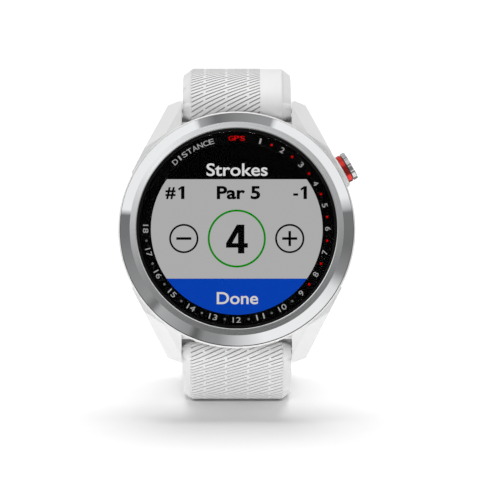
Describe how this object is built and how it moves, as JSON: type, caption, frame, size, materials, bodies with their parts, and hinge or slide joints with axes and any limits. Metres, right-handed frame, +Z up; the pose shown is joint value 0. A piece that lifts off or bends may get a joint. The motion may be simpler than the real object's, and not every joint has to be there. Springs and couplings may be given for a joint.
{
  "type": "golf gps watch",
  "caption": "Round golf GPS watch with a metal bezel, side button and white silicone strap, standing opened on the strap.",
  "frame": {"origin": "the middle of the flat stretch of strap that it stands on, on the surface", "axes": "+Z up, the dial faces -Y and leans back 12 degrees, +X towards 3 o'clock"},
  "size_m": [0.0439, 0.1041, 0.0611],
  "materials": {
    "case_white": "satin white fibre-reinforced plastic",
    "bezel_metal": "polished cone with a brushed top ring",
    "glass": "clear toughened glass, polished",
    "black_ring": "matt black print with light numerals",
    "screen": "lit colour display",
    "black_rubber": "matt seal rubber",
    "dark_plastic": "moulded dark plastic",
    "board_green": "solder-masked circuit board",
    "can_metal": "tinned steel sheet",
    "ceramic": "fired ceramic patch with a metal face",
    "battery_foil": "matt aluminium pouch",
    "motor_metal": "bright steel can",
    "flex_amber": "polyimide ribbon",
    "cover_grey": "fine-textured moulded plastic",
    "screw_steel": "machined stainless steel",
    "contact_gold": "gold-plated pins",
    "button_steel": "polished fluted steel",
    "accent_red": "red anodised ring",
    "strap_silicone": "matt white silicone with a pressed pattern",
    "bar_steel": "drawn stainless steel",
    "buckle_steel": "fine brushed stainless steel"
  },
  "bodies": {
    "head": {"mid_case": "case_white", "bezel": "bezel_metal", "back_cover": "cover_grey", "back_gasket": "black_rubber", "case_screws": "screw_steel", "charge_insert": "dark_plastic", "charge_contacts": "contact_gold", "lens": "glass", "lens_gasket": "black_rubber", "dial_ring": "black_ring", "touch_layer": "glass", "display_panel": "screen", "display_frame": "dark_plastic", "display_flex": "flex_amber", "main_board": "board_green", "processor_shield": "can_metal", "gps_antenna": "ceramic", "battery": "battery_foil", "vibration_motor": "motor_metal", "tact_switch": "dark_plastic", "button_o_ring": "black_rubber", "button_spring": "bar_steel"},
    "button": {"button_cap": "button_steel", "button_washer": "black_rubber", "button_accent_ring": "accent_red", "button_stem": "bar_steel", "button_clip": "bar_steel"},
    "upper_strap": {"upper_strap": "strap_silicone", "upper_bar_tube": "bar_steel", "upper_bar_tip": "bar_steel", "upper_bar_spring": "bar_steel", "fixed_keeper": "strap_silicone"},
    "upper_release": {"upper_release_lever": "bar_steel"},
    "buckle_frame": {"buckle_frame": "buckle_steel", "buckle_pin": "bar_steel"},
    "buckle_tang": {"buckle_tang": "buckle_steel"},
    "free_keeper": {"free_keeper": "strap_silicone"},
    "lower_strap": {"lower_strap": "strap_silicone", "lower_bar_tube": "bar_steel", "lower_bar_tip": "bar_steel", "lower_bar_spring": "bar_steel"},
    "lower_release": {"lower_release_lever": "bar_steel"}
  },
  "joints": [
    {"name": "button_press", "type": "slide", "parent": "head", "child": "button", "axis": [-0.866, -0.104, -0.4891], "range_m": [0, 0.0006], "stiffness_N_per_m": 3000, "springref_m": -0.0002, "deforming": ["button_spring"]},
    {"name": "upper_strap_hinge", "type": "hinge", "parent": "head", "child": "upper_strap", "pos_m": [0, -0.02543, 0.05509], "axis": [1, 0, 0], "range_deg": [-4, 45]},
    {"name": "upper_release_slide", "type": "slide", "parent": "upper_strap", "child": "upper_release", "axis": [-1, 0, 0], "range_m": [0, 0.0012], "stiffness_N_per_m": 1500, "springref_m": -0.0003, "deforming": ["upper_bar_spring"]},
    {"name": "free_keeper_slide", "type": "slide", "parent": "upper_strap", "child": "free_keeper", "axis": [0, 0, -1], "range_m": [-0.002, 0.002]},
    {"name": "buckle_hinge", "type": "hinge", "parent": "upper_strap", "child": "buckle_frame", "pos_m": [0, 0.00799, 0.02146], "axis": [1, 0, 0], "range_deg": [-25, 45]},
    {"name": "tang_hinge", "type": "hinge", "parent": "buckle_frame", "child": "buckle_tang", "pos_m": [0, 0.00799, 0.02146], "axis": [1, 0, 0], "range_deg": [0, 70]},
    {"name": "lower_strap_hinge", "type": "hinge", "parent": "head", "child": "lower_strap", "pos_m": [0, -0.03466, 0.01166], "axis": [-1, 0, 0], "range_deg": [-4, 45]},
    {"name": "lower_release_slide", "type": "slide", "parent": "lower_strap", "child": "lower_release", "axis": [-1, 0, 0], "range_m": [0, 0.0012], "stiffness_N_per_m": 1500, "springref_m": -0.0003, "deforming": ["lower_bar_spring"]}
  ]
}
